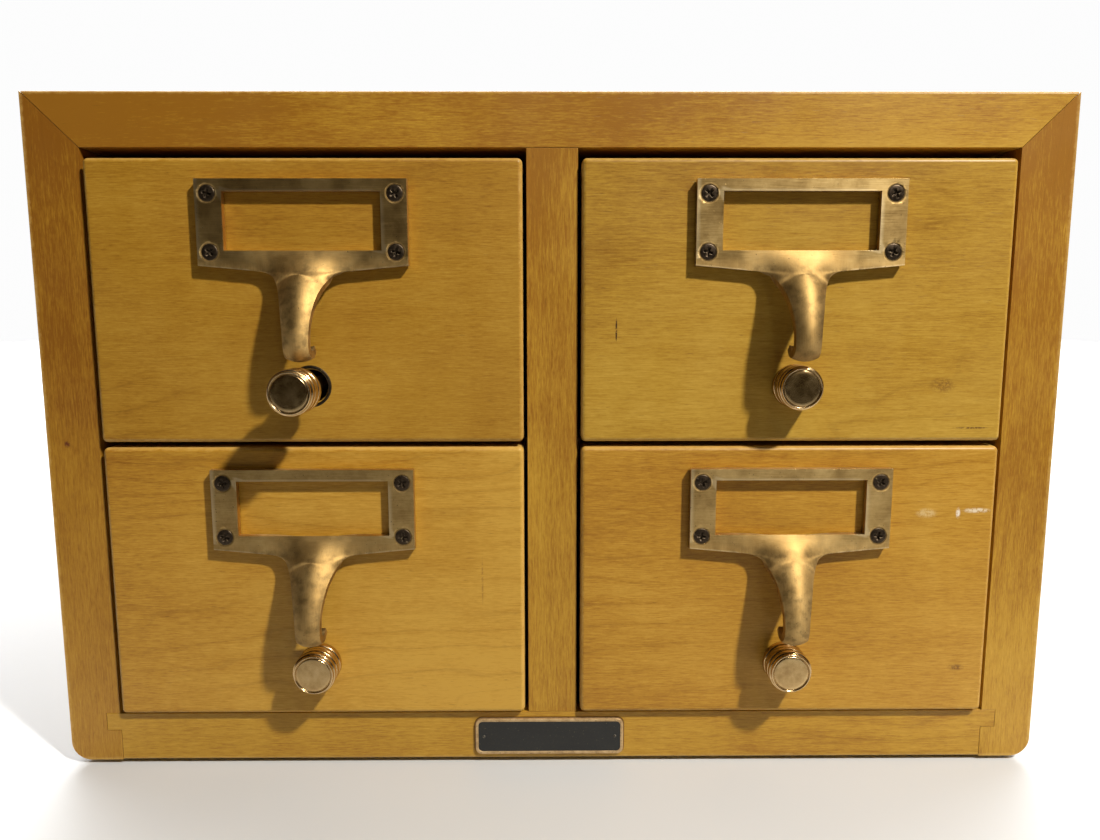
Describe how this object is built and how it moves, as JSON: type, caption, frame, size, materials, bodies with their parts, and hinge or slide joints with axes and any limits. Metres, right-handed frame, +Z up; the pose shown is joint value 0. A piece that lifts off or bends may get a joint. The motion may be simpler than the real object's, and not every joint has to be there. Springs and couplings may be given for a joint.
{
  "type": "card catalog cabinet",
  "caption": "Desktop card catalog cabinet: a mitred hardwood case with dovetailed card drawers, cast brass label-holder pulls, guide rods with turned knobs and sliding follower blocks.",
  "frame": {"origin": "under the middle of the whole object, on the surface it stands on, with the drawers shut and the upper left rod standing out", "axes": "+X to the right seen from the front, +Y to the back, +Z up"},
  "size_m": [0.381, 0.462, 0.255],
  "materials": {
    "case_maple": "golden maple under worn satin varnish",
    "front_maple": "golden maple under worn satin varnish, edges rubbed",
    "tray_wood": "plain oiled maple",
    "back_ply": "plain veneered ply, matte",
    "pull_brass": "antique satin brass, brushed",
    "knob_brass": "worn polished brass with a coppery tone",
    "rod_steel": "bright drawn steel, slightly dulled",
    "screw_black": "blackened brass, worn",
    "plate_black": "black enamel with a brass edge, blank"
  },
  "bodies": {
    "case": {"top_panel": "case_maple", "left_side_panel": "case_maple", "right_side_panel": "case_maple", "bottom_panel": "case_maple", "center_divider": "case_maple", "shelf": "tray_wood", "back_panel": "back_ply", "name_plate": "plate_black"},
    "upper_left_drawer": {"upper_left_drawer_front": "front_maple", "upper_left_tray_left_side": "tray_wood", "upper_left_tray_right_side": "tray_wood", "upper_left_tray_back": "tray_wood", "upper_left_tray_bottom": "tray_wood", "upper_left_pull": "pull_brass", "upper_left_pull_screw_1": "screw_black", "upper_left_pull_screw_2": "screw_black", "upper_left_pull_screw_3": "screw_black", "upper_left_pull_screw_4": "screw_black"},
    "upper_left_rod": {"upper_left_guide_rod": "rod_steel"},
    "upper_left_knob": {"upper_left_rod_knob": "knob_brass"},
    "upper_left_follower": {"upper_left_follower_block": "tray_wood"},
    "upper_right_drawer": {"upper_right_drawer_front": "front_maple", "upper_right_tray_left_side": "tray_wood", "upper_right_tray_right_side": "tray_wood", "upper_right_tray_back": "tray_wood", "upper_right_tray_bottom": "tray_wood", "upper_right_pull": "pull_brass", "upper_right_pull_screw_1": "screw_black", "upper_right_pull_screw_2": "screw_black", "upper_right_pull_screw_3": "screw_black", "upper_right_pull_screw_4": "screw_black"},
    "upper_right_rod": {"upper_right_guide_rod": "rod_steel"},
    "upper_right_knob": {"upper_right_rod_knob": "knob_brass"},
    "upper_right_follower": {"upper_right_follower_block": "tray_wood"},
    "lower_left_drawer": {"lower_left_drawer_front": "front_maple", "lower_left_tray_left_side": "tray_wood", "lower_left_tray_right_side": "tray_wood", "lower_left_tray_back": "tray_wood", "lower_left_tray_bottom": "tray_wood", "lower_left_pull": "pull_brass", "lower_left_pull_screw_1": "screw_black", "lower_left_pull_screw_2": "screw_black", "lower_left_pull_screw_3": "screw_black", "lower_left_pull_screw_4": "screw_black"},
    "lower_left_rod": {"lower_left_guide_rod": "rod_steel"},
    "lower_left_knob": {"lower_left_rod_knob": "knob_brass"},
    "lower_left_follower": {"lower_left_follower_block": "tray_wood"},
    "lower_right_drawer": {"lower_right_drawer_front": "front_maple", "lower_right_tray_left_side": "tray_wood", "lower_right_tray_right_side": "tray_wood", "lower_right_tray_back": "tray_wood", "lower_right_tray_bottom": "tray_wood", "lower_right_pull": "pull_brass", "lower_right_pull_screw_1": "screw_black", "lower_right_pull_screw_2": "screw_black", "lower_right_pull_screw_3": "screw_black", "lower_right_pull_screw_4": "screw_black"},
    "lower_right_rod": {"lower_right_guide_rod": "rod_steel"},
    "lower_right_knob": {"lower_right_rod_knob": "knob_brass"},
    "lower_right_follower": {"lower_right_follower_block": "tray_wood"}
  },
  "joints": [
    {"name": "upper_left_drawer_slide", "type": "slide", "parent": "case", "child": "upper_left_drawer", "axis": [0, -1, 0], "range_m": [0, 0.34]},
    {"name": "upper_left_rod_slide", "type": "slide", "parent": "upper_left_drawer", "child": "upper_left_rod", "axis": [0, -1, 0], "range_m": [-0.015, 0.375]},
    {"name": "upper_left_knob_turn", "type": "hinge", "parent": "upper_left_rod", "child": "upper_left_knob", "pos_m": [-0.0896, -0.22505, 0.1491], "axis": [0, -1, 0], "range_deg": [0, 90]},
    {"name": "upper_left_follower_slide", "type": "slide", "parent": "upper_left_drawer", "child": "upper_left_follower", "axis": [0, -1, 0], "range_m": [0, 0.32]},
    {"name": "upper_right_drawer_slide", "type": "slide", "parent": "case", "child": "upper_right_drawer", "axis": [0, -1, 0], "range_m": [0, 0.34]},
    {"name": "upper_right_rod_slide", "type": "slide", "parent": "upper_right_drawer", "child": "upper_right_rod", "axis": [0, -1, 0], "range_m": [0, 0.39]},
    {"name": "upper_right_knob_turn", "type": "hinge", "parent": "upper_right_rod", "child": "upper_right_knob", "pos_m": [0.0896, -0.21005, 0.1491], "axis": [0, -1, 0], "range_deg": [0, 90]},
    {"name": "upper_right_follower_slide", "type": "slide", "parent": "upper_right_drawer", "child": "upper_right_follower", "axis": [0, -1, 0], "range_m": [0, 0.32]},
    {"name": "lower_left_drawer_slide", "type": "slide", "parent": "case", "child": "lower_left_drawer", "axis": [0, -1, 0], "range_m": [0, 0.34]},
    {"name": "lower_left_rod_slide", "type": "slide", "parent": "lower_left_drawer", "child": "lower_left_rod", "axis": [0, -1, 0], "range_m": [0, 0.39]},
    {"name": "lower_left_knob_turn", "type": "hinge", "parent": "lower_left_rod", "child": "lower_left_knob", "pos_m": [-0.0896, -0.21005, 0.0417], "axis": [0, -1, 0], "range_deg": [0, 90]},
    {"name": "lower_left_follower_slide", "type": "slide", "parent": "lower_left_drawer", "child": "lower_left_follower", "axis": [0, -1, 0], "range_m": [0, 0.32]},
    {"name": "lower_right_drawer_slide", "type": "slide", "parent": "case", "child": "lower_right_drawer", "axis": [0, -1, 0], "range_m": [0, 0.34]},
    {"name": "lower_right_rod_slide", "type": "slide", "parent": "lower_right_drawer", "child": "lower_right_rod", "axis": [0, -1, 0], "range_m": [0, 0.39]},
    {"name": "lower_right_knob_turn", "type": "hinge", "parent": "lower_right_rod", "child": "lower_right_knob", "pos_m": [0.0896, -0.21005, 0.0417], "axis": [0, -1, 0], "range_deg": [0, 90]},
    {"name": "lower_right_follower_slide", "type": "slide", "parent": "lower_right_drawer", "child": "lower_right_follower", "axis": [0, -1, 0], "range_m": [0, 0.32]}
  ]
}
